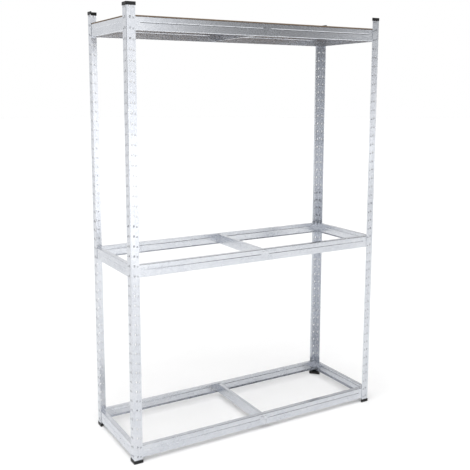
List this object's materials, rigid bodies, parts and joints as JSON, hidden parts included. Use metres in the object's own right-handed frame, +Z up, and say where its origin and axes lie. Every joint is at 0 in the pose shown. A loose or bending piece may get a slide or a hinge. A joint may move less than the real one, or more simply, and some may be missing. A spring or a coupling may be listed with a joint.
{
  "type": "tyre storage rack",
  "caption": "Free-standing galvanised rack of punched angle posts and hook-in beams, with open levels for upright tyres and a board on top.",
  "frame": {"origin": "on the floor, at the middle of the rack's footprint", "axes": "+X along the width, +Y towards the rear, +Z up"},
  "size_m": [1.2134, 0.4184, 1.8],
  "materials": {
    "galvanised_sheet": "hot-dip galvanised, faint spangle, satin",
    "zinc_rivet": "zinc plated, satin",
    "black_plastic": "moulded, fine grain",
    "fibreboard": "raw medium density fibreboard"
  },
  "bodies": {
    "frame": {"cap_front_left": "black_plastic", "cap_front_right": "black_plastic", "cap_rear_left": "black_plastic", "cap_rear_right": "black_plastic", "foot_front_left": "black_plastic", "foot_front_right": "black_plastic", "foot_rear_left": "black_plastic", "foot_rear_right": "black_plastic", "post_lower_front_left": "galvanised_sheet", "post_lower_front_right": "galvanised_sheet", "post_lower_rear_left": "galvanised_sheet", "post_lower_rear_right": "galvanised_sheet", "post_upper_front_left": "galvanised_sheet", "post_upper_front_right": "galvanised_sheet", "post_upper_rear_left": "galvanised_sheet", "post_upper_rear_right": "galvanised_sheet", "splice_front_left": "galvanised_sheet", "splice_front_right": "galvanised_sheet", "splice_rear_left": "galvanised_sheet", "splice_rear_right": "galvanised_sheet", "splice_rivets": "zinc_rivet"},
    "level_bottom": {"beam_bottom_front": "galvanised_sheet", "beam_bottom_left": "galvanised_sheet", "beam_bottom_rear": "galvanised_sheet", "beam_bottom_right": "galvanised_sheet", "rivets_bottom": "zinc_rivet", "tie_bottom": "galvanised_sheet"},
    "level_middle": {"beam_middle_front": "galvanised_sheet", "beam_middle_left": "galvanised_sheet", "beam_middle_rear": "galvanised_sheet", "beam_middle_right": "galvanised_sheet", "rivets_middle": "zinc_rivet", "tie_middle": "galvanised_sheet"},
    "level_top": {"beam_top_front": "galvanised_sheet", "beam_top_left": "galvanised_sheet", "beam_top_rear": "galvanised_sheet", "beam_top_right": "galvanised_sheet", "rivets_top": "zinc_rivet", "tie_top": "galvanised_sheet"},
    "board": {"board": "fibreboard"}
  },
  "joints": [
    {"name": "unhook_bottom", "type": "slide", "parent": "frame", "child": "level_bottom", "axis": [0, 0, 1], "range_m": [0, 0.0045]},
    {"name": "unhook_middle", "type": "slide", "parent": "frame", "child": "level_middle", "axis": [0, 0, 1], "range_m": [0, 0.0045]},
    {"name": "unhook_top", "type": "slide", "parent": "frame", "child": "level_top", "axis": [0, 0, 1], "range_m": [0, 0.0045]},
    {"name": "board_lift", "type": "slide", "parent": "level_top", "child": "board", "axis": [0, 0, 1], "range_m": [0, 0.09]}
  ]
}
